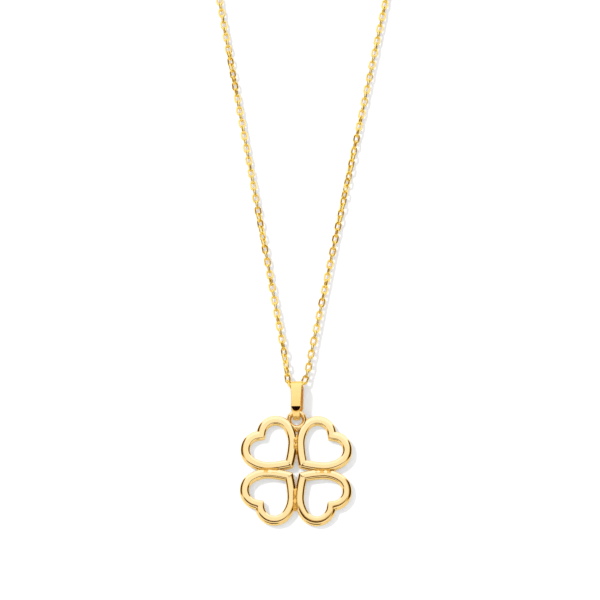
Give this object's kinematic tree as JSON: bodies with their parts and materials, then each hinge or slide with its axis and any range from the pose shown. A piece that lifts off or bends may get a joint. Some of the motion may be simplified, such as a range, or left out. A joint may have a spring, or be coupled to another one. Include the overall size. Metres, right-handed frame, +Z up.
{
  "type": "clover pendant necklace",
  "caption": "Gold clover pendant of openwork hearts with a soldered ring, a tapered bail and a fine cable chain with a clasp, laid flat.",
  "frame": {"origin": "middle of the laid out necklace's box, on the surface that it lies on", "axes": "+Y runs from the clover along the laid out chain to the clasp, +Z up out of the clover's face"},
  "size_m": [0.0676, 0.2306, 0.003],
  "materials": {
    "polished_gold": "polished yellow gold, crowned and mirror bright, with faint polishing marks",
    "satin_gold": "yellow gold with a soft satin face and a polished facet",
    "chain_gold": "bright yellow gold wire with cut facets",
    "clasp_gold": "polished yellow gold"
  },
  "bodies": {
    "root": {"clover": "polished_gold", "bail": "satin_gold", "chain": "chain_gold", "clasp": "clasp_gold"}
  },
  "joints": []
}
